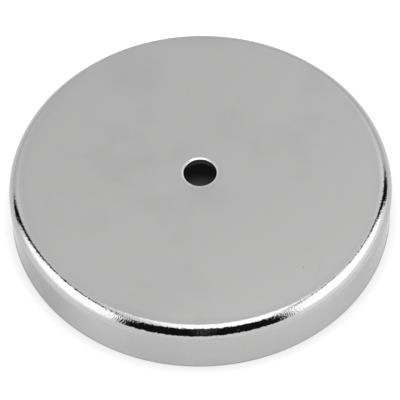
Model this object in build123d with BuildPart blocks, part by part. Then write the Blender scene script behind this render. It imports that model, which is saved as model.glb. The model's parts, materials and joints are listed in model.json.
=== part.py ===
"""A round-base pot magnet: a ferrite ring potted into a drawn, pierced steel cup.

The origin is the centre of the open pole face, with +Z towards the closed end. All lengths in mm.
"""

import os

from build123d import *

# Driving dimensions of the drawn cup
rim_diameter = 81.0  # outside, at the open ground rim
cup_height = 10.9  # from the rim to the outside of the closed end
sheet = 1.6  # steel sheet
wall_lean = 0.26  # how far the wall leans out over the cup's height, on the radius
punch_radius = 1.4  # inner corner between the closed end and the wall
rim_break = 0.15  # broken edges of the ground rim

# Driving dimensions of the pierced screw hole
hole_diameter = 7.0  # at its sheared land
roll_width = 0.75  # of the dish round the hole, where the piercing punch drew the sheet in
roll_depth = 0.13  # of that dish at the hole
hole_edge = 0.08  # radius where the dish turns down into the hole
torn_share = 0.4  # of the sheet below the dish that tore instead of shearing
breakout = 0.10  # how much wider the torn stretch ends, on the radius

# Driving dimensions of the sintered ring
potting_gap = 3.4  # between the ring and the cup wall, at the rim
magnet_bore = 24.0  # clears the head of the screw
magnet_recess = 0.15  # how far the pole face lies behind the steel rim
magnet_bevel = 0.5  # pressed edge bevels

# Driving dimensions of the cured resin
resin_bed = 0.15  # film between the closed end and the magnet
bed_setback = 1.0  # how far the film stops short of the magnet's bore
resin_recess = 0.2  # how far the edges of the fill lie behind the pole face
resin_sag = 0.3  # how far the middle of the fill sags behind its edges

# Levels above the rim, and radii, that follow
floor_level = cup_height - sheet
entry_level = cup_height - roll_depth
torn_level = floor_level + (sheet - roll_depth) * torn_share
seat_level = floor_level - resin_bed
fill_level = magnet_recess + resin_recess
rim_radius = rim_diameter / 2
hole_radius = hole_diameter / 2
bore_radius = magnet_bore / 2
bed_radius = bore_radius + bed_setback


def wall_radius(level):
    """Inside radius of the leaning cup wall at a level above the rim."""
    return rim_radius - sheet - wall_lean * level / cup_height


magnet_radius = wall_radius(0) - potting_gap

# The cup: a flat closed end and one leaning wall, drawn from one sheet
with BuildPart() as steel_cup:
    with BuildSketch(Plane.XZ) as cup_section:
        with BuildLine():
            Polyline(
                (0, cup_height),
                (rim_radius - wall_lean, cup_height),
                (rim_radius, 0),
                (wall_radius(0), 0),
                (wall_radius(floor_level), floor_level),
                (0, floor_level),
                close=True,
            )
        make_face()
        floor_ends, outer_ends = cup_section.vertices().group_by(Axis.Y)[-2:]
        fillet(outer_ends.sort_by(Axis.X)[-1], punch_radius + sheet)
        fillet(floor_ends.sort_by(Axis.X)[-1], punch_radius)
        chamfer(cup_section.vertices().group_by(Axis.Y)[0], rim_break)
    revolve(axis=Axis.Z)

    # The hole: a dished entry, a sheared land, then a torn stretch that opens towards the inside
    with BuildSketch(Plane.XZ) as hole_section:
        with BuildLine():
            dish = TangentArc(
                (hole_radius + roll_width, cup_height), (hole_radius, entry_level), tangent=(-1, 0)
            )
            Polyline(
                dish @ 1,
                (hole_radius, torn_level),
                (hole_radius + breakout, floor_level),
                (0, floor_level),
                (0, cup_height),
                dish @ 0,
            )
        make_face()
        fillet(hole_section.vertices().sort_by_distance((hole_radius, entry_level))[0], hole_edge)
    revolve(axis=Axis.Z, mode=Mode.SUBTRACT)
steel_cup.part.label = "steel_cup"

# The magnet: a pressed and sintered ring with bevelled edges
with BuildPart() as ring_magnet:
    with BuildSketch(Plane.XY.offset(magnet_recess)):
        Circle(magnet_radius)
        Circle(bore_radius, mode=Mode.SUBTRACT)
    extrude(amount=seat_level - magnet_recess)
    chamfer(ring_magnet.edges().filter_by(GeomType.CIRCLE), magnet_bevel)
ring_magnet.part.label = "ring_magnet"

# The resin: the film that the magnet is bedded in and the fill round it, with a sagging free surface
with BuildPart() as potting_resin:
    with BuildSketch(Plane.XZ) as resin_section:
        with BuildLine():
            free_surface = ThreePointArc(
                (wall_radius(fill_level), fill_level),
                (magnet_radius + potting_gap / 2, fill_level + resin_sag),
                (magnet_radius - magnet_bevel, fill_level),
            )
            Polyline(
                free_surface @ 1,
                (magnet_radius - magnet_bevel, seat_level),
                (bed_radius, seat_level),
                (bed_radius, floor_level),
                (wall_radius(floor_level), floor_level),
                free_surface @ 0,
            )
        make_face()
        floor_ends = resin_section.vertices().group_by(Axis.Y)[-1]
        fillet(floor_ends.sort_by(Axis.X)[-1], punch_radius)
    revolve(axis=Axis.Z)
    add(ring_magnet.part, mode=Mode.SUBTRACT)
potting_resin.part.label = "potting_resin"

os.makedirs("parts", exist_ok=True)
export_step(steel_cup.part, "parts/steel_cup.step")
export_step(ring_magnet.part, "parts/ring_magnet.step")
export_step(potting_resin.part, "parts/potting_resin.step")
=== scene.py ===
"""The looks of a round-base pot magnet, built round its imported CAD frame. All lengths in metres."""

import json
from math import atan2, cos, degrees, hypot, pi, radians, sin, tan

import bmesh
import bpy
from mathutils import Matrix, Vector

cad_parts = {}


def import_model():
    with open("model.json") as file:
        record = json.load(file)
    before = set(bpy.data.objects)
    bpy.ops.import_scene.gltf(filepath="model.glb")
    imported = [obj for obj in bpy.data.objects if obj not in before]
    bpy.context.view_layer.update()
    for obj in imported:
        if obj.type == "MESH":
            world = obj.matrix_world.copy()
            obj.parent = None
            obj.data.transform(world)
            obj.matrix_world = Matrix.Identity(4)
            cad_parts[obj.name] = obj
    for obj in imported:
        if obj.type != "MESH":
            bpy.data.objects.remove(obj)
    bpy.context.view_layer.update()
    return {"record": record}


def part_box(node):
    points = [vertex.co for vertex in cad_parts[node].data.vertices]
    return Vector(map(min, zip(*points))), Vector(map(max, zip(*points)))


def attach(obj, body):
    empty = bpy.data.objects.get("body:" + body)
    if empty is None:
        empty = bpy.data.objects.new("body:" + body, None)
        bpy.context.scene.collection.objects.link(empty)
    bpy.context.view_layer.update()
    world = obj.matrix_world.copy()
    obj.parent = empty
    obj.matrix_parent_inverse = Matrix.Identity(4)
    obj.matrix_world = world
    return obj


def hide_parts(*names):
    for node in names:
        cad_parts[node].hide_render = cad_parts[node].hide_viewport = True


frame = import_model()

MM = 0.001

# Sizes that the frame holds
mounts = {mount["name"]: mount for mount in frame["record"]["mounts"]}
cup_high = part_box("steel_cup")[1]
magnet_low, magnet_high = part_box("ring_magnet")
resin_low, resin_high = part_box("potting_resin")
cup_height = cup_high.z
sheet = cup_high.z - resin_high.z
hole_radius = mounts["bolt_hole"]["dims"]["r_mm"] * MM
bore_radius = mounts["head_recess"]["dims"]["r_mm"] * MM
magnet_radius = magnet_high.x

# Sizes of the sections that the frame doesn't hold, as in the part's source
wall_lean = 0.26 * MM
punch_radius = 1.4 * MM
rim_break = 0.15 * MM
roll_width = 0.75 * MM
roll_depth = 0.13 * MM
hole_edge = 0.08 * MM
torn_share = 0.4
breakout = 0.10 * MM
magnet_bevel = 0.5 * MM
bed_setback = 1.0 * MM
resin_sag = 0.3 * MM

# What follows from them; the cup is widest where the broken edge of its rim starts
floor_level = cup_height - sheet
rim_radius = cup_high.x + wall_lean * rim_break / cup_height
corner_radius = punch_radius + sheet
bed_radius = bore_radius + bed_setback
closed_middle = Vector((0, 0, cup_height))

LATHE_STEPS = 512  # round the axis
SHARP_ANGLE = radians(28)  # edges that turn by more are shaded sharp

# The camera, seen from the middle of the closed face
CAMERA_DISTANCE = 327.13 * MM
CAMERA_ELEVATION = radians(52.434)
CAMERA_AIM = Vector((-0.148, -7.214, 0)) * MM
CAMERA_ROLL = radians(-1.402)
CAMERA_LENS = 140.38  # in mm, as Blender has it
CAMERA_SENSOR = 36  # in mm too

# Levels of light, where 1 is white: of the cards, and of the room round them
SOFTBOX = 1.75
ROOM = 1.0
BELOW_SOFTBOX = 1.16
BACK_PANEL = 0.82
BACK_PANEL_LOW = 0.77
DARK_ROOM = 0.01
STAND = 0.08

# Distances of the cards from the origin: where two overlap, the nearer one is seen
PANEL_DISTANCE = 2.4
GAP_DISTANCE = 2.2
SOFTBOX_DISTANCE = 2.0
OVERHEAD_DISTANCE = 1.95
CAMERA_SIDE_DISTANCE = 1.9
STAND_DISTANCE = 1.85

# The floor, with the levels of its own light
FLOOR_RADIUS = 3.0
FLOOR_TONE = 0.32
FLOOR_LIFT = 0.58  # where the camera sees it or the plate mirrors it
FLOOR_HAZE = 0.30  # more of it for the camera alone, which takes the floor to white
HAZE_WIDTH = 4.0 * MM  # from the rim to where the haze is full; at the rim it is a third, which leaves painted shade round the part
BORE_LIGHT = 0.6  # what falls on the walls of the recess from below

# Painted shade on the floor that only the plate's reflections show, and painted light where depth is
# negative:
# (x, y), full and outer radius in mm, and depth
PAINTED_FLOOR_SHADE_AND_LIGHT = (
    ((-36, -21), 3, 19, 0.20),
    ((37, -18), 3, 20, 0.10),
    ((0, 90), 34, 45, 0.33),
    ((-120, 45), 20, 75, 0.09),
    ((-85, -60), 30, 80, -0.16),
    ((85, -60), 30, 80, -0.12),
)

# The plate: its tone, how much rougher its flat is than its drawn corner, and the faint darker patches on
# the flat:
# (x, y), full and outer radius in mm, and how much darker
NICKEL_TONE = 0.56
FLAT_ROUGH = 0.16
FLAT_DARK_PATCHES = (
    ((-14, 28), 2, 9, 0.030),
    ((6, 12), 1, 9, 0.017),
    ((3.2, -6.8), 1, 5, 0.020),
    ((-3, 6.5), 0.5, 5, 0.014),
)

# The studio's cards, by where the photograph shows their edges mirrored in the cup's drawn corner, as
# (rim angle, fillet angle) in degrees. They are listed with more points where an edge is curved.
GAP_LEFT = (
    (-24, 22), (-30, 17.3), (-37, 13.6), (-50, 13.8), (-60, 16.5), (-70, 23.5), (-80, 30), (-83, 35),
    (-82, 42), (-75, 47.5), (-73, 44), (-71.5, 36), (-65, 29), (-60, 24.5), (-52, 19.5), (-45, 18.5),
    (-37, 18), (-30, 20.3), (-25, 25),
)
SOFTBOX_LEFT = (
    (-25.5, 31), (-27, 25), (-31, 20), (-37, 17.6), (-45, 16.9), (-52, 18.6), (-60, 24), (-65.5, 32),
    (-67, 42), (-67, 58), (-45, 62), (-25.5, 62),
)
GAP_RIGHT = (
    (23, 20.5), (26, 15.2), (32.5, 10), (38, 8.8), (50, 9.9), (62, 11.4), (70, 14), (80, 19.5),
    (89.5, 25), (90, 30), (86.5, 36), (82, 39.5), (78, 39), (76.5, 35),
)
SOFTBOX_RIGHT = (
    (25.8, 24), (27, 18.5), (30.5, 14.8), (34, 11.8), (42, 10.3), (52, 12.2), (63, 16.4), (72, 25.5),
    (76, 34), (76, 50), (60, 58), (40, 62), (25.5, 62),
)
OVERHEAD = (
    (-38, 12.5), (-28, 7), (-20, 5.7), (0, 4.4), (10, 2.8), (18, 2.8), (33, 4.8), (31.5, 10.5),
    (24.5, 14.5), (22, 24), (0, 24), (-22, 24), (-25, 18.5), (-31, 14.6),
)
CAMERA_SIDE = (
    (-21, 23), (-15, 22.4), (-8, 21.2), (0, 20.8), (8, 20.6), (15, 20.8), (22, 20), (22.5, 25),
    (25.2, 40), (24.8, 47), (0, 50.4), (-24.5, 51), (-25, 40), (-22.2, 28),
)
CAMERA_STAND = ((-2, 22), (0.8, 24), (2.8, 23.5), (2.3, 30), (0.2, 46), (-1.2, 46), (-0.8, 30))
# The panel behind, by the (azimuth, zenith) of its corners in degrees
BACK_PANEL_CORNERS = (
    (180, 100), (140, 100), (118, 96), (118, 50), (130, 30), (160, 18), (-150, 16), (-120, 18),
    (-110, 45), (-112, 98), (-140, 100),
)


# ---------------------------------------------------------------- turned meshes


def wall_radius(level):
    """Inside radius of the leaning cup wall at a level above the rim."""
    return rim_radius - sheet - wall_lean * level / cup_height


def arc(centre, radius, start, end, steps):
    """Points of an arc in the section plane, from one angle to another in degrees."""
    angles = (radians(start + (end - start) * i / steps) for i in range(steps + 1))
    return [(centre[0] + radius * cos(a), centre[1] + radius * sin(a)) for a in angles]


def run(start, end, steps):
    """Points between two points of the section, without the two."""
    shares = (i / steps for i in range(1, steps))
    return [tuple(a + (b - a) * share for a, b in zip(start, end)) for share in shares]


def corner_arc(corner, radius, steps):
    """The fillet between the flat closed end and the leaning wall, from the flat outwards."""
    lean_angle = atan2(wall_lean, cup_height)
    tangent = radius / tan((pi / 2 + lean_angle) / 2)
    centre = (corner[0] - tangent, corner[1] - radius)
    return arc(centre, radius, 90, degrees(lean_angle), steps)


def added(name, data):
    """Puts an object with that mesh or camera into the scene."""
    made = bpy.data.objects.new(name, data)
    bpy.context.scene.collection.objects.link(made)
    return made


def turned(name, section):
    """A closed section of (radius, level) points turned round Z, with a map in metres along both ways.

    The section goes up on the axis's side, so that the faces look outwards."""
    count = len(section)
    lengths = [0.0]
    for here, there in zip(section, section[1:] + section[:1]):
        lengths.append(lengths[-1] + hypot(there[0] - here[0], there[1] - here[1]))
    mean_radius = sum(radius for radius, _ in section) / count
    across = 2 * pi * mean_radius / LATHE_STEPS
    vertices = []
    faces = []
    mapped = []
    for step in range(LATHE_STEPS):
        turn = 2 * pi * step / LATHE_STEPS
        vertices += [(radius * cos(turn), radius * sin(turn), level) for radius, level in section]
        here = step * count
        there = (step + 1) % LATHE_STEPS * count
        left, right = step * across, (step + 1) * across
        for number in range(count):
            beyond = (number + 1) % count
            faces.append((here + number, here + beyond, there + beyond, there + number))
            low, high = lengths[number], lengths[number + 1]
            mapped += [(left, low), (left, high), (right, high), (right, low)]
    mesh = bpy.data.meshes.new(name)
    mesh.from_pydata(vertices, [], faces)
    layer = mesh.uv_layers.new(name="turned")
    for corner, place in zip(layer.data, mapped):
        corner.uv = place
    mesh.validate()
    mesh.shade_smooth()
    mesh.set_sharp_from_angle(angle=SHARP_ANGLE)
    return added(name, mesh)


def dressed(piece, node, material):
    """Puts a turned piece in the place of its CAD node, with its finish."""
    piece.data.materials.append(material)
    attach(piece, "root")
    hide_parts(node)
    return piece


def hole_entry():
    """The hole's edge and the dish round it, from the hole outwards: two arcs that touch."""
    dish_radius = (roll_width**2 + roll_depth**2) / (2 * roll_depth)
    dish_centre = (hole_radius + roll_width, cup_height - dish_radius)
    across = roll_width - hole_edge
    up = ((dish_radius - hole_edge) ** 2 - across**2) ** 0.5
    edge_centre = (hole_radius + hole_edge, dish_centre[1] + up)
    meeting = degrees(atan2(up, -across))
    edge = arc(edge_centre, hole_edge, 180, meeting, 6)
    dish = arc(dish_centre, dish_radius, meeting, 90, 10)
    return edge + dish[1:]


def cup_section():
    """The cup: the hole's entry, the flat, the wall, the ground rim, the inside and the torn hole."""
    entry = hole_entry()
    outer = corner_arc((rim_radius - wall_lean, cup_height), corner_radius, 28)
    inner = corner_arc((wall_radius(floor_level), floor_level), punch_radius, 14)
    rim_out = (rim_radius - wall_lean * rim_break / cup_height, rim_break)
    rim_in = (wall_radius(rim_break), rim_break)
    land = (hole_radius, floor_level + (sheet - roll_depth) * torn_share)
    torn = (hole_radius + breakout, floor_level)
    section = entry + run(entry[-1], outer[0], 24) + outer + run(outer[-1], rim_out, 8)
    section += [rim_out, (rim_radius - rim_break, 0), (wall_radius(0) + rim_break, 0), rim_in]
    section += run(rim_in, inner[-1], 6) + inner[::-1] + run(inner[0], torn, 12)
    section += [torn] + run(torn, land, 3) + [land] + run(land, entry[0], 3)
    return section


def magnet_section():
    """The ring: its bore, its bedded face, its outside and its pole face, with a bevel between each two."""
    low, high = magnet_low.z, magnet_high.z
    corners = (
        (bore_radius + magnet_bevel, low),
        (bore_radius, low + magnet_bevel),
        (bore_radius, high - magnet_bevel),
        (bore_radius + magnet_bevel, high),
        (magnet_radius - magnet_bevel, high),
        (magnet_radius, high - magnet_bevel),
        (magnet_radius, low + magnet_bevel),
        (magnet_radius - magnet_bevel, low),
    )
    rows = (3, 8, 3, 4, 3, 8, 3, 24)
    section = []
    for here, there, count in zip(corners, corners[1:] + corners[:1], rows):
        section += [here] + run(here, there, count)
    return section


def resin_section():
    """The film under the magnet and the fill round it, whose free surface sags between its edges."""
    edge, high = resin_low.z, resin_high.z
    seat = magnet_high.z
    outside = wall_radius(edge)
    inside = magnet_radius - magnet_bevel + (edge - magnet_low.z)
    middle = (outside + inside) / 2
    half = (outside - inside) / 2
    surface = []
    for i in range(21):
        share = i / 10 - 1
        surface.append((middle + half * share, edge + resin_sag * (1 - share**2)))
    section = [(magnet_radius, magnet_low.z + magnet_bevel), (magnet_radius, seat - magnet_bevel)]
    section += [(magnet_radius - magnet_bevel, seat), (bed_radius, seat), (bed_radius, high)]
    section += corner_arc((wall_radius(high), high), punch_radius, 8)
    return section + surface[::-1]


# ---------------------------------------------------------------- materials


class Shader:
    """A material's node tree, with short ways to add nodes and join them to others."""

    def __init__(self, name):
        self.material = bpy.data.materials.new(name)
        self.material.use_nodes = True
        self.nodes = self.material.node_tree.nodes
        self.links = self.material.node_tree.links
        self.nodes.clear()
        self.output = self.nodes.new("ShaderNodeOutputMaterial")

    def add(self, kind, settings=None, **inputs):
        """A node of that kind. Inputs are given by name or by number, as in _0, as a value or a socket."""
        made = self.nodes.new("ShaderNode" + kind)
        for key, value in (settings or {}).items():
            setattr(made, key, value)
        for key, value in inputs.items():
            socket = made.inputs[int(key[1:]) if key[0] == "_" else key.replace("_", " ")]
            if isinstance(value, bpy.types.NodeSocket):
                self.links.new(value, socket)
            else:
                socket.default_value = value
        return made

    def math(self, operation, first, second=0.0, third=0.0):
        """What that operation makes of two or three numbers."""
        node = self.add("Math", {"operation": operation}, _0=first, _1=second, _2=third)
        return node.outputs[0]

    def vector(self, operation, first, second=(0, 0, 0)):
        """What that operation makes of two vectors: a number if it measures, and otherwise a vector."""
        node = self.add("VectorMath", {"operation": operation}, _0=first, _1=second)
        measures = operation in ("LENGTH", "DISTANCE", "DOT_PRODUCT")
        return node.outputs["Value" if measures else "Vector"]

    def raised(self, value, share, amount):
        """A value with that amount added where the share is 1."""
        return self.math("MULTIPLY_ADD", share, amount, value)

    def scaled(self, value, share, gain):
        """A value made larger by that gain where the share is 1."""
        return self.math("MULTIPLY", value, self.math("MULTIPLY_ADD", share, gain, 1.0))

    def ramp(self, value, low, high, out_low=0.0, out_high=1.0):
        """A smooth step of a value between two limits."""
        limits = {"From_Min": low, "From_Max": high, "To_Min": out_low, "To_Max": out_high}
        node = self.add("MapRange", {"interpolation_type": "SMOOTHSTEP"}, Value=value, **limits)
        return node.outputs[0]

    def noise(self, where, size, detail=2.0, roughness=0.5):
        """Noise whose features are about that large, in metres."""
        node = self.add("TexNoise", Vector=where, Scale=1 / size, Detail=detail, Roughness=roughness)
        return node.outputs["Fac"]

    def specks(self, where, size, share, full, outer):
        """Round specks in that share of cells of about that size. Their two radii are shares of a cell."""
        cells = self.add("TexVoronoi", Vector=where, Scale=1 / size)
        chance = self.add("SeparateColor", _0=cells.outputs["Color"])
        few = self.math("GREATER_THAN", chance.outputs[0], 1 - share)
        return self.math("MULTIPLY", few, self.ramp(cells.outputs["Distance"], full, outer, 1.0, 0.0))

    def place(self):
        """The place on the surface, how far it is from the axis, and its level."""
        where = self.add("TexCoord").outputs["Object"]
        parts = self.add("SeparateXYZ", _0=where)
        aside = self.add("CombineXYZ", _0=parts.outputs[0], _1=parts.outputs[1], _2=0.0)
        return where, self.vector("LENGTH", aside.outputs[0]), parts.outputs[2]

    def grey(self, tone, blue=1.0):
        """A grey of that tone, with its blue that many times as strong."""
        node = self.add("CombineColor", _0=tone, _1=tone, _2=self.math("MULTIPLY", tone, blue))
        return node.outputs[0]

    def finish(self, shader):
        """The material, once its last shader node is joined to the output."""
        self.links.new(shader.outputs[0], self.output.inputs["Surface"])
        return self.material

    def surface(self, colour, rough, bump, **constants):
        """The material of a solid surface, with its bump node and what else is the same all over it."""
        varied = {"Base_Color": colour, "Roughness": rough, "Normal": bump.outputs[0]}
        return self.finish(self.add("BsdfPrincipled", **varied, **constants))

    def glowing_floor(self, colour, level):
        """The material of a dull floor with its own light, which a camera below it looks through."""
        lit = self.add("BsdfDiffuse", Color=colour)
        shine = self.add("Emission", Color=(1, 1, 1, 1), Strength=level)
        both = self.add("AddShader", _0=lit.outputs[0], _1=shine.outputs[0])
        to_camera = self.add("LightPath").outputs["Is Camera Ray"]
        below = self.math("MULTIPLY", to_camera, self.add("NewGeometry").outputs["Backfacing"])
        clear = self.add("BsdfTransparent")
        return self.finish(self.add("MixShader", _0=below, _1=both.outputs[0], _2=clear.outputs[0]))


def hairlines(s, where):
    """Hairline scratches: long thin cells, few of which hold a line along their middle."""
    turned_place = s.add("VectorRotate", {"rotation_type": "Z_AXIS"}, Vector=where, Angle=radians(-69))
    cell = (1 / (9 * MM), 1 / (1.1 * MM), 0)
    stretched = s.vector("MULTIPLY", turned_place.outputs[0], cell)
    lines = s.add("TexVoronoi", {"voronoi_dimensions": "2D"}, Vector=stretched, Scale=1.0)
    chance = s.add("SeparateColor", _0=lines.outputs["Color"])
    few = s.math("GREATER_THAN", chance.outputs[1], 0.992)
    offset = s.vector("SUBTRACT", stretched, lines.outputs["Position"])
    sideways = s.math("ABSOLUTE", s.add("SeparateXYZ", _0=offset).outputs[1])
    return s.math("MULTIPLY", s.ramp(sideways, 0.02, 0.07, 1.0, 0.0), few)


def nickel():
    """Bright nickel plate: a satin flat with faint darker patches, pits and hairlines, orange peel on the
    corner, and a painted sheen in the dish round the hole.
    """
    s = Shader("nickel_plate")
    where, radius, level = s.place()
    grain = s.noise(where, 0.28 * MM)
    cloud = s.noise(where, 17 * MM, detail=4, roughness=0.55)
    haze = s.noise(where, 3.0 * MM, detail=4)
    peel = s.noise(where, 0.30 * MM, detail=0.0)
    pits = s.specks(where, 3.4 * MM, 0.08, 0.025, 0.07)
    scratch = hairlines(s, where)

    tone = s.raised(NICKEL_TONE, s.math("SUBTRACT", grain, 0.5), 0.06)
    tone = s.math("ADD", tone, s.ramp(cloud, 0.36, 0.50, -0.022, 0.0))
    tone = s.scaled(tone, pits, -0.55)
    tone = s.scaled(tone, scratch, -0.07)
    for centre, inner, outer, depth in FLAT_DARK_PATCHES:
        aside = s.vector("DISTANCE", where, (centre[0] * MM, centre[1] * MM, cup_height))
        aside = s.raised(aside, s.math("SUBTRACT", haze, 0.5), 0.5 * outer * MM)
        tone = s.math("SUBTRACT", tone, s.ramp(aside, inner * MM, outer * MM, depth, 0.0))

    # The piercing punch burnishes the dish, and its colour is raised there as a painted sheen that
    # brightens its highlight. The steel in the hole below the dish is darker.
    painted_dish_sheen = s.ramp(radius, hole_radius + 0.08 * MM, hole_radius + 0.70 * MM, 1.0, 0.0)
    below_dish = s.ramp(level, cup_height - 0.34 * MM, cup_height - 0.20 * MM, 1.0, 0.0)
    at_hole = s.ramp(radius, hole_radius + 0.2 * MM, hole_radius + 0.4 * MM, 1.0, 0.0)
    # Painted sheen in the dish round the hole
    tone = s.scaled(tone, painted_dish_sheen, 0.32)
    tone = s.scaled(tone, s.math("MULTIPLY", below_dish, at_hole), -0.4)

    # The rolled flat is satin between the dish and the drawn corner, which are smooth
    punched = s.ramp(radius, hole_radius + 0.3 * MM, hole_radius + roll_width, 0.02, 0.0)
    inside_corner = s.ramp(radius, rim_radius - 4.6 * MM, rim_radius - 3.0 * MM, 1.0, 0.0)
    outside_dish = s.ramp(radius, hole_radius + roll_width * 0.7, hole_radius + roll_width * 1.8)
    rough = s.math("ADD", s.raised(punched, haze, 0.04), 0.03)
    rough = s.raised(rough, pits, 0.25)
    rough = s.raised(rough, s.math("MULTIPLY", inside_corner, outside_dish), FLAT_ROUGH)

    drawn = s.ramp(radius, rim_radius - 3.6 * MM, rim_radius - 2.6 * MM)
    height = s.math("MULTIPLY", peel, s.math("ADD", drawn, 0.08))
    height = s.raised(height, pits, -0.3)
    height = s.raised(height, scratch, -0.04)
    bump = s.add("Bump", Height=height, Strength=1.0, Distance=0.015 * MM)
    return s.surface(s.grey(tone, blue=0.995), rough, bump, Metallic=1.0)


def ferrite():
    """Sintered ferrite: charcoal, with pores, a ground pole face and small chips along its edges."""
    s = Shader("ferrite")
    where, radius, level = s.place()
    grain = s.noise(where, 0.12 * MM, detail=3, roughness=0.7)
    patches = s.noise(where, 7 * MM, detail=5, roughness=0.6)
    pores = s.specks(where, 0.8 * MM, 0.2, 0.06, 0.20)

    # The pole face is ground, which leaves straight fine marks
    ground = s.ramp(level, magnet_low.z + 0.01 * MM, magnet_low.z + 0.05 * MM, 1.0, 0.0)
    lay = s.vector("MULTIPLY", where, (1 / (28 * MM), 1 / (0.16 * MM), 0))
    marks = s.noise(lay, 1.0, detail=3, roughness=0.65)
    marks = s.math("MULTIPLY", ground, s.math("SUBTRACT", marks, 0.5))

    # Chips lie where the faces meet the bevels
    outer_edge = s.math("ABSOLUTE", s.math("SUBTRACT", radius, magnet_radius - magnet_bevel))
    inner_edge = s.math("ABSOLUTE", s.math("SUBTRACT", radius, bore_radius + magnet_bevel))
    edge = s.ramp(s.math("MINIMUM", outer_edge, inner_edge), 0.15 * MM, 0.9 * MM, 0.22, 0.0)
    chips = s.ramp(s.math("ADD", s.noise(where, 1.3 * MM, detail=3), edge), 0.70, 0.74)

    tone = s.raised(0.022, grain, 0.05)
    tone = s.raised(tone, s.ramp(patches, 0.35, 0.65), 0.022)
    tone = s.raised(tone, ground, 0.022)
    tone = s.raised(tone, marks, 0.11)
    tone = s.raised(tone, chips, 0.035)
    tone = s.scaled(tone, pores, -0.75)
    rough = s.raised(s.raised(0.38, grain, 0.22), chips, 0.2)
    height = s.raised(grain, pores, -2.5)
    height = s.raised(height, chips, -3.0)
    height = s.raised(height, marks, 1.5)
    bump = s.add("Bump", Height=height, Strength=0.7, Distance=0.02 * MM)
    return s.surface(s.grey(tone, blue=1.07), rough, bump, Specular_IOR_Level=0.6)


def resin():
    """Cured black resin: glossy where it levelled, dull where it crept up the walls, with pinholes."""
    s = Shader("resin")
    where, radius, _ = s.place()
    waves = s.noise(where, 2.6 * MM)
    dust = s.noise(where, 0.2 * MM)
    pinholes = s.specks(where, 2.2 * MM, 0.38, 0.07, 0.13)
    outer_film = s.ramp(radius, rim_radius - sheet - 0.9 * MM, rim_radius - sheet - 0.1 * MM)
    inner_film = s.ramp(radius, magnet_radius - magnet_bevel, magnet_radius + 0.5 * MM, 1.0, 0.0)
    patchy = s.ramp(s.noise(where, 1.6 * MM, detail=3), 0.38, 0.62)
    crept = s.math("MULTIPLY", s.math("MAXIMUM", outer_film, inner_film), patchy)
    tone = s.raised(s.raised(0.006, dust, 0.012), crept, 0.025)
    rough = s.raised(s.raised(0.05, waves, 0.10), crept, 0.35)
    bump = s.add("Bump", Height=s.raised(waves, pinholes, -1.2), Strength=0.9, Distance=0.16 * MM)
    return s.surface(s.grey(tone, blue=1.05), rough, bump)


# ---------------------------------------------------------------- studio


def camera_place():
    """Where the camera stands."""
    away = Vector((0, -cos(CAMERA_ELEVATION), sin(CAMERA_ELEVATION)))
    return closed_middle + CAMERA_DISTANCE * away


def direction(azimuth, zenith):
    """Unit vector to a place in the studio: azimuth 0 is the camera's side and 90 the right, in degrees."""
    a, z = radians(azimuth), radians(zenith)
    return Vector((sin(z) * sin(a), -sin(z) * cos(a), cos(z)))


def mirrored_place(rim_angle, fillet_angle, distance):
    """The place in the studio that the camera sees mirrored in the cup's drawn corner.

    rim_angle goes round the cup from the camera's side to the right, and fillet_angle down the corner from
    the flat to the wall, both in degrees. distance is how far from the origin the place lies."""
    normal = direction(rim_angle, fillet_angle)
    middle = direction(rim_angle, 90) * (rim_radius - wall_lean - corner_radius)
    middle.z = cup_height - corner_radius
    place = middle + corner_radius * normal
    view = (camera_place() - place).normalized()
    ray = 2 * normal.dot(view) * normal - view
    along = place.dot(ray)
    reach = (along**2 + distance**2 - place.length_squared) ** 0.5 - along
    return place + reach * ray


def glow(name, level, fade=None, side=0.0, bow=0.0, foot=(0.0, 1.0, 0.0)):
    """A surface that shines at a level, where 1 is white.

    fade is (axis, low, high, level): where the direction from the origin has less than low along that
    axis, the light is at that level, and from high on it is at the full one. side adds to it from left to
    right, and bow towards both sides, high up. foot is (low, high, loss): that much light is lost where
    the direction's height is low, and none where it is high."""
    s = Shader(name)
    strength = level
    if fade:
        axis, fade_low, fade_high, faded = fade
        towards = s.vector("NORMALIZE", s.add("TexCoord").outputs["Object"])
        parts = s.add("SeparateXYZ", _0=towards)
        across, up = parts.outputs[0], parts.outputs[2]
        strength = s.ramp(s.vector("DOT_PRODUCT", towards, axis), fade_low, fade_high, faded, level)
        sideways = s.math("MULTIPLY", across, s.raised(side, across, bow))
        strength = s.math("MULTIPLY_ADD", sideways, s.ramp(up, 0.35, 0.7), strength)
        foot_low, foot_high, loss = foot
        strength = s.math("SUBTRACT", strength, s.ramp(up, foot_low, foot_high, loss, 0.0))
    return s.finish(s.add("Emission", Color=(1, 1, 1, 1), Strength=strength))


def card(name, material, corners):
    """A card in the studio, bent to the sphere round the origin that its corners lie on."""
    distance = corners[0].length
    mesh = bpy.data.meshes.new(name)
    shape = bmesh.new()
    shape.faces.new([shape.verts.new(corner) for corner in corners])
    bmesh.ops.triangulate(shape, faces=shape.faces[:])
    bmesh.ops.subdivide_edges(shape, edges=shape.edges[:], cuts=7, use_grid_fill=True)
    for vertex in shape.verts:
        vertex.co = vertex.co.normalized() * distance
    shape.to_mesh(mesh)
    shape.free()
    mesh.materials.append(material)
    piece = added(name, mesh)
    piece.visible_camera = False
    return piece


def seen_card(name, material, outline, distance):
    """A card whose outline is given where the camera sees it mirrored in the cup's drawn corner."""
    return card(name, material, [mirrored_place(*corner, distance) for corner in outline])


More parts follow.
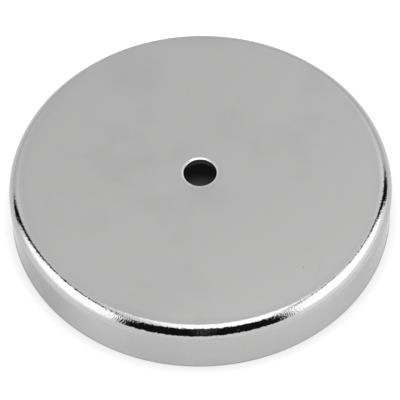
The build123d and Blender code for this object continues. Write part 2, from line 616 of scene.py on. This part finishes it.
def floor_material():
    """Pale floor that keeps the shadow and shows near white, apart from under the part, with a painted dark
    line at the rim, painted shade round it, and painted shade and light spots that only the plate's
    reflections show.
    """
    s = Shader("floor")
    where, away, _ = s.place()
    path = s.add("LightPath")
    shown = s.math("MAXIMUM", path.outputs["Is Camera Ray"], path.outputs["Is Transmission Ray"])
    mirrored = path.outputs["Is Glossy Ray"]
    seen = s.math("MAXIMUM", shown, mirrored)
    # Painted shade at the rim: the lift starts just past it, which paints a dark line at the contact, and
    # the camera's haze is smaller near it, which paints shade round the part on top of its real shadow
    lift_past_painted_contact_line = s.ramp(away, rim_radius - 0.1 * MM, rim_radius + 0.2 * MM, 0.0, FLOOR_LIFT)
    haze = s.ramp(away, rim_radius, rim_radius + HAZE_WIDTH, FLOOR_HAZE / 3, FLOOR_HAZE)
    lift = s.math("ADD", s.math("MULTIPLY", seen, lift_past_painted_contact_line), s.math("MULTIPLY", shown, haze))
    # Painted shade and painted light spots, seen only in the plate's reflections
    for centre, inner, outer, depth in PAINTED_FLOOR_SHADE_AND_LIGHT:
        aside = s.vector("DISTANCE", where, (centre[0] * MM, centre[1] * MM, 0))
        shade = s.ramp(aside, inner * MM, outer * MM, depth, 0.0)
        lift = s.math("SUBTRACT", lift, s.math("MULTIPLY", mirrored, shade))
    speck = s.noise(where, 0.8 * MM)
    return s.glowing_floor(s.grey(s.raised(FLOOR_TONE, speck, 0.01)), lift)


def recess_floor_material():
    """The floor inside the ring magnet: a dark colour as painted shade, with a painted light spot that
    glows where light would fall through the hole.
    """
    s = Shader("recess_floor")
    where, _, _ = s.place()
    # Painted shade and painted light: a dark floor colour, and a glow that is brightest near the hole's
    # axis
    from_painted_light_spot = s.vector("DISTANCE", where, (0, 0.6 * MM, 0))
    painted_light_spot = s.ramp(from_painted_light_spot, 2.5 * MM, 8.0 * MM, 0.045, 0.004)
    onto_walls = s.add("LightPath").outputs["Is Diffuse Ray"]
    return s.glowing_floor((0.10, 0.10, 0.10, 1), s.raised(painted_light_spot, onto_walls, BORE_LIGHT))


def ring(name, inner, outer, material, steps=128):
    """A flat ring at floor level, or a disc where inner is 0, as a stage piece that faces up."""
    around = [(cos(2 * pi * i / steps), sin(2 * pi * i / steps)) for i in range(steps)]
    outside = [(outer * x, outer * y, 0) for x, y in around]
    inside = [(inner * x, inner * y, 0) for x, y in around]
    mesh = bpy.data.meshes.new(name)
    if inner == 0:
        mesh.from_pydata(outside, [], [tuple(range(steps))])
    else:
        faces = [(i, steps + i, steps + (i + 1) % steps, (i + 1) % steps) for i in range(steps)]
        mesh.from_pydata(inside + outside, [], faces)
    mesh.materials.append(material)
    piece = added(name, mesh)
    return piece


def floor():
    """The floor, left open under the ring magnet, where the part covers it, so that its face is lit."""
    ring("floor", rim_radius - sheet / 2, FLOOR_RADIUS, floor_material())
    ring("floor_under_recess", 0, bore_radius + 1.0 * MM, recess_floor_material())


def studio():
    """Softboxes overhead and at both sides, a grey panel behind, and the dark room on the camera's side."""
    foot = (-0.05, 0.26, 0.08)
    left_fade = ((0, 0.10, 1), 0.22, 0.33, BELOW_SOFTBOX)
    right_fade = ((0, 0.12, 1), 0.38, 0.47, BELOW_SOFTBOX)
    top_fade = ((1, 0, 0), -0.25, -0.06, ROOM)
    panel_fade = ((0, 0, 1), 0.76, 0.87, BACK_PANEL_LOW)
    left_light = glow("left_softbox", SOFTBOX, left_fade, foot=foot)
    right_light = glow("right_softbox", SOFTBOX, right_fade, foot=foot)
    top_light = glow("top_softbox", SOFTBOX, top_fade)
    grey = glow("back_panel", BACK_PANEL, panel_fade, side=0.22, bow=0.8, foot=(0.20, 0.62, 0.07))
    black = glow("dark_room", DARK_ROOM)
    dim = glow("camera_stand", STAND)
    panel_corners = [direction(*corner) * PANEL_DISTANCE for corner in BACK_PANEL_CORNERS]
    card("back_panel", grey, panel_corners)
    seen_card("gap_left", black, GAP_LEFT, GAP_DISTANCE)
    seen_card("gap_right", black, GAP_RIGHT, GAP_DISTANCE)
    seen_card("softbox_left", left_light, SOFTBOX_LEFT, SOFTBOX_DISTANCE)
    seen_card("softbox_right", right_light, SOFTBOX_RIGHT, SOFTBOX_DISTANCE)
    seen_card("overhead", top_light, OVERHEAD, OVERHEAD_DISTANCE)
    seen_card("camera_side", black, CAMERA_SIDE, CAMERA_SIDE_DISTANCE)
    seen_card("camera_stand", dim, CAMERA_STAND, STAND_DISTANCE)


def world():
    """White surroundings, which also light the part."""
    surroundings = bpy.data.worlds.new("world")
    bpy.context.scene.world = surroundings
    surroundings.use_nodes = True
    background = surroundings.node_tree.nodes["Background"]
    background.inputs["Color"].default_value = (1, 1, 1, 1)
    background.inputs["Strength"].default_value = ROOM


def camera():
    """The camera, turned to its aim and rolled a little, as the photograph was taken."""
    data = bpy.data.cameras.new("camera")
    data.lens = CAMERA_LENS
    data.sensor_width = CAMERA_SENSOR
    data.clip_start, data.clip_end = 0.01, 20
    aim = closed_middle + CAMERA_AIM
    facing = (aim - camera_place()).to_track_quat("-Z", "Y").to_matrix().to_4x4()
    rolled = facing @ Matrix.Rotation(CAMERA_ROLL, 4, "Z")
    eye = added("camera", data)
    eye.matrix_world = Matrix.Translation(camera_place()) @ rolled
    bpy.context.scene.camera = eye


# ---------------------------------------------------------------- the part

camera()
dressed(turned("cup_shell", cup_section()), "steel_cup", nickel())
dressed(turned("magnet_body", magnet_section()), "ring_magnet", ferrite())
dressed(turned("resin_fill", resin_section()), "potting_resin", resin())
floor()
studio()
world()
bpy.context.scene.view_settings.view_transform = "Standard"
